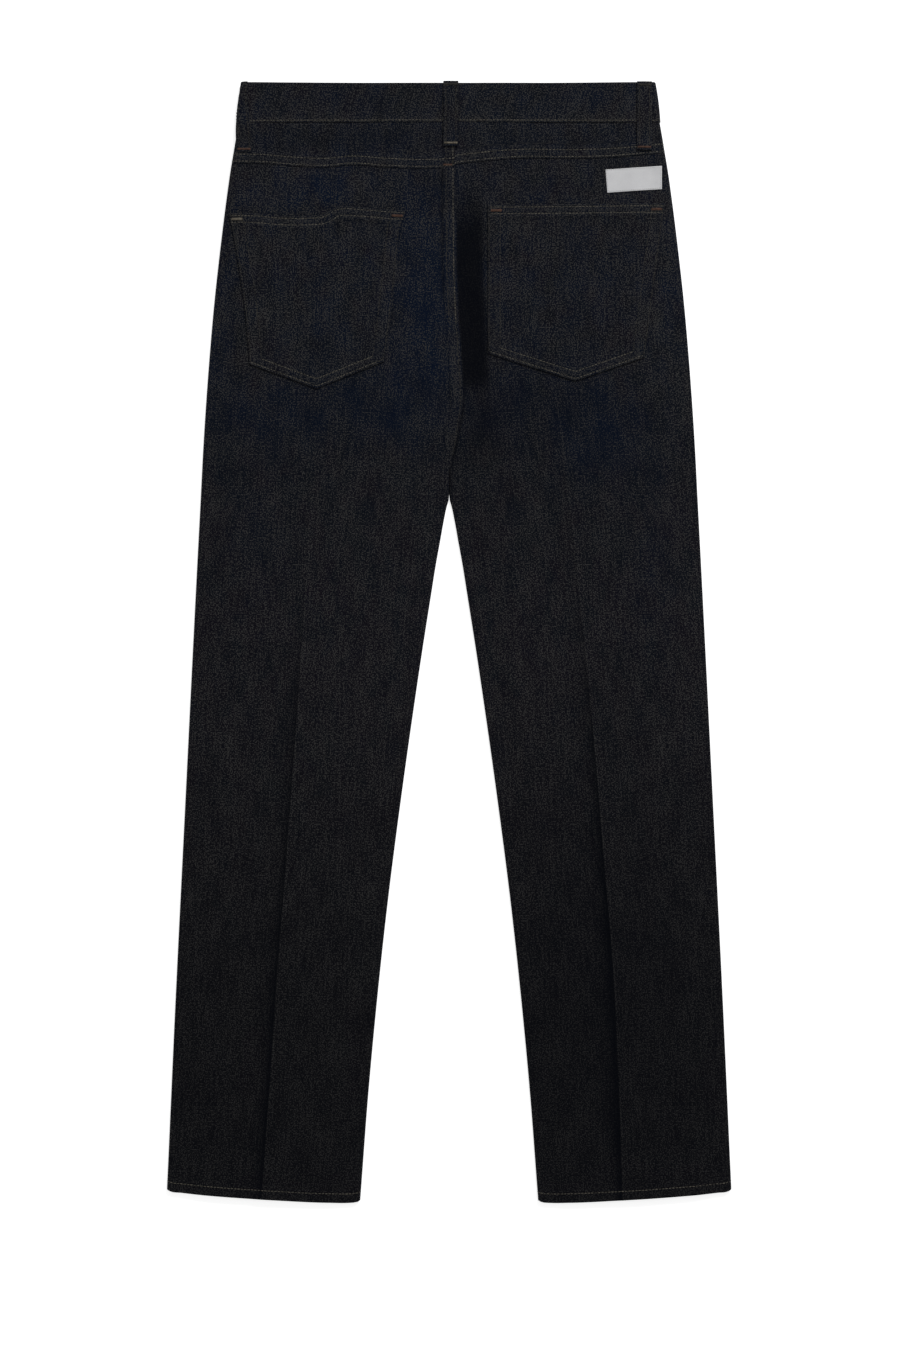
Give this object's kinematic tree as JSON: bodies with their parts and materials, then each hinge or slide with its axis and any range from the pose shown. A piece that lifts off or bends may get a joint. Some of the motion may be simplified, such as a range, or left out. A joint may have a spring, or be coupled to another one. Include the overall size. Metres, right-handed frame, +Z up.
{
  "type": "jeans",
  "caption": "Straight-leg raw denim jeans laid flat on their front, back upwards, with yoke, patch pockets, waistband, belt loops, zip fly and waist button.",
  "frame": {"origin": "centre of the garment's outline, on the surface that it lies on", "axes": "+Y from the hems to the waistband, +Z up through the lower front layer to the back layer, +X to the wearer's right"},
  "size_m": [0.5526, 1.0976, 0.0142],
  "materials": {
    "denim": "matte raw denim, near-black navy",
    "label_cloth": "matte white woven tape",
    "zip_tape": "matte woven tape with a metal chain",
    "brass": "satin",
    "copper": "satin, aged copper colour"
  },
  "bodies": {
    "root": {"back_left": "denim", "back_right": "denim", "yoke_left": "denim", "yoke_right": "denim", "front_left": "denim", "front_right": "denim", "pocket_facing_left": "denim", "pocket_facing_right": "denim", "waistband": "denim", "belt_loop_back_centre": "denim", "belt_loop_back_left": "denim", "belt_loop_back_right": "denim", "belt_loop_front_left": "denim", "belt_loop_front_right": "denim", "back_pocket_left": "denim", "back_pocket_right": "denim", "label": "label_cloth", "zip": "zip_tape", "zip_slider": "brass", "button": "copper"}
  },
  "joints": []
}
